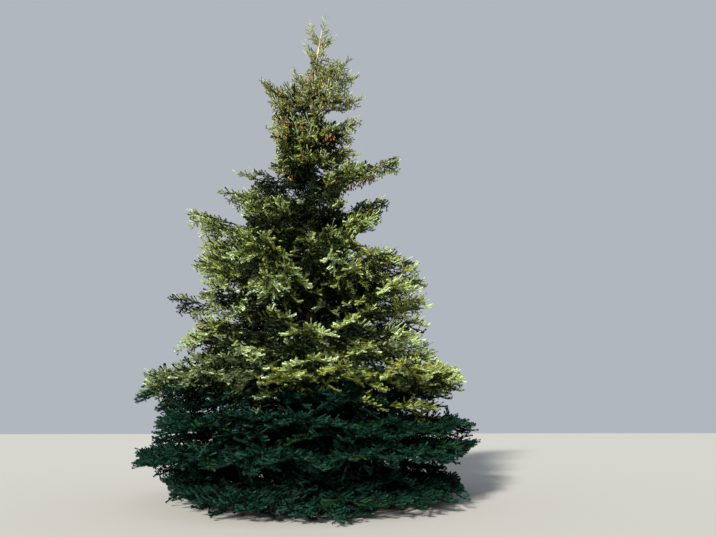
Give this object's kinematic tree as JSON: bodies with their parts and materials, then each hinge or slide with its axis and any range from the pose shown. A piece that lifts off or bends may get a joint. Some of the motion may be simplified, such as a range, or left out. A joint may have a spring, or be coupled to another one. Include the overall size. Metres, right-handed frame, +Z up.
{
  "type": "white spruce tree",
  "caption": "Full-grown open-ground conifer with a straight tapering trunk, tiers of spreading boughs that turn up at their tips and a narrow leader.",
  "frame": {"origin": "middle of the flat cut under the trunk, at ground level", "axes": "+Z up along the trunk, +X to the right of the picture, -Y towards the picture's near side"},
  "size_m": [8.104, 7.6723, 13.8212],
  "materials": {
    "bark": "scaly grey-brown bark, matt",
    "needles_shade": "deep blue-green needles of the shaded skirt",
    "needles_green": "mid green needles",
    "needles_sunlit": "yellow-green to pale blue-green needles of the sunlit crown",
    "cones": "rusty brown papery scales"
  },
  "bodies": {
    "root": {"trunk": "bark", "bough_1_back": "bark", "bough_1_front_right": "bark", "bough_1_left": "bark", "bough_2_back_right": "bark", "bough_2_front": "bark", "bough_2_left": "bark", "bough_3_back": "bark", "bough_3_front_left": "bark", "bough_3_front_right": "bark", "foliage_01_back": "needles_shade", "foliage_01_front_right": "needles_shade", "foliage_01_left": "needles_shade", "foliage_02_back_right": "needles_shade", "foliage_02_front": "needles_shade", "foliage_02_left": "needles_shade", "foliage_03_back": "needles_shade", "foliage_03_front_left": "needles_shade", "foliage_03_front_right": "needles_shade", "foliage_04_back_right": "needles_shade", "foliage_04_front_right": "needles_shade", "foliage_04_left": "needles_shade", "foliage_05_back_left": "needles_shade", "foliage_05_back_right": "needles_shade", "foliage_05_front": "needles_shade", "foliage_06_back": "needles_green", "foliage_06_front_right": "needles_green", "foliage_06_left": "needles_green", "foliage_07_back_left": "needles_green", "foliage_07_front": "needles_green", "foliage_07_right": "needles_green", "foliage_08_back_right": "needles_green", "foliage_08_front_right": "needles_green", "foliage_08_left": "needles_green", "foliage_09_back_right": "needles_green", "foliage_09_front_right": "needles_green", "foliage_09_left": "needles_green", "foliage_10_back_left": "needles_sunlit", "foliage_10_front": "needles_sunlit", "foliage_10_right": "needles_sunlit", "foliage_11_back": "needles_sunlit", "foliage_11_front_left": "needles_sunlit", "foliage_11_right": "needles_sunlit", "foliage_12_back_right": "needles_sunlit", "foliage_12_front_right": "needles_sunlit", "foliage_12_left": "needles_sunlit", "foliage_13_back_right": "needles_sunlit", "foliage_13_front": "needles_sunlit", "foliage_13_left": "needles_sunlit", "foliage_14_back_right": "needles_sunlit", "foliage_14_front_right": "needles_sunlit", "foliage_14_left": "needles_sunlit", "foliage_15_back_left": "needles_sunlit", "foliage_15_front_left": "needles_sunlit", "foliage_15_right": "needles_sunlit", "foliage_16_left": "needles_sunlit", "foliage_16_right": "needles_sunlit", "foliage_17_left": "needles_sunlit", "foliage_17_right": "needles_sunlit", "foliage_leader": "needles_sunlit"}
  },
  "joints": []
}
